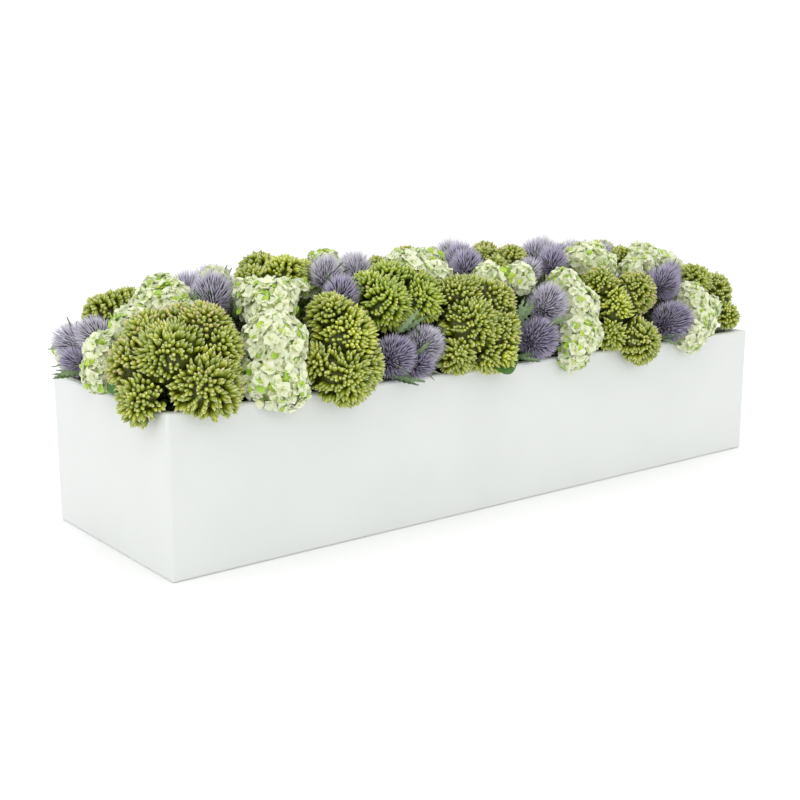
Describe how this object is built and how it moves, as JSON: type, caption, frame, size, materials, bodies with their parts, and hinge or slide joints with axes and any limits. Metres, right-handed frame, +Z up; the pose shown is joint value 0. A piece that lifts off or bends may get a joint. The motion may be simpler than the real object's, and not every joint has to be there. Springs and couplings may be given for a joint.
{
  "type": "flower arrangement in rectangular planter",
  "caption": "Low, long mound of green stonecrop, lilac-grey sea holly and pale snowball flower heads in a plain white rectangular planter that stands on its flat underside.",
  "frame": {"origin": "centre of the planter's underside", "axes": "+X along the planter's length, -Y towards the side shown in the picture, +Z up"},
  "size_m": [0.8457, 0.293, 0.2587],
  "materials": {
    "planter_white": "satin",
    "foam_dark": "matte",
    "stonecrop_green": "waxy",
    "seaholly_lilac": "matte",
    "snowball_cream": "matte"
  },
  "bodies": {
    "root": {"foam": "foam_dark", "planter": "planter_white", "seaholly_01": "seaholly_lilac", "seaholly_02": "seaholly_lilac", "seaholly_03": "seaholly_lilac", "seaholly_04": "seaholly_lilac", "seaholly_05": "seaholly_lilac", "seaholly_06": "seaholly_lilac", "seaholly_07": "seaholly_lilac", "seaholly_08": "seaholly_lilac", "seaholly_09": "seaholly_lilac", "seaholly_10": "seaholly_lilac", "seaholly_11": "seaholly_lilac", "seaholly_12": "seaholly_lilac", "seaholly_13": "seaholly_lilac", "snowball_01": "snowball_cream", "snowball_02": "snowball_cream", "snowball_03": "snowball_cream", "snowball_04": "snowball_cream", "snowball_05": "snowball_cream", "snowball_06": "snowball_cream", "snowball_07": "snowball_cream", "snowball_08": "snowball_cream", "snowball_09": "snowball_cream", "snowball_10": "snowball_cream", "snowball_11": "snowball_cream", "snowball_12": "snowball_cream", "snowball_13": "snowball_cream", "snowball_14": "snowball_cream", "snowball_15": "snowball_cream", "snowball_16": "snowball_cream", "snowball_17": "snowball_cream", "snowball_18": "snowball_cream", "stonecrop_01": "stonecrop_green", "stonecrop_02": "stonecrop_green", "stonecrop_03": "stonecrop_green", "stonecrop_04": "stonecrop_green", "stonecrop_05": "stonecrop_green", "stonecrop_06": "stonecrop_green", "stonecrop_07": "stonecrop_green", "stonecrop_08": "stonecrop_green", "stonecrop_09": "stonecrop_green", "stonecrop_10": "stonecrop_green", "stonecrop_11": "stonecrop_green", "stonecrop_12": "stonecrop_green", "stonecrop_13": "stonecrop_green", "stonecrop_14": "stonecrop_green", "stonecrop_15": "stonecrop_green", "stonecrop_16": "stonecrop_green", "stonecrop_17": "stonecrop_green", "stonecrop_18": "stonecrop_green", "stonecrop_19": "stonecrop_green", "stonecrop_20": "stonecrop_green", "stonecrop_21": "stonecrop_green", "stonecrop_22": "stonecrop_green", "stonecrop_23": "stonecrop_green"}
  },
  "joints": []
}
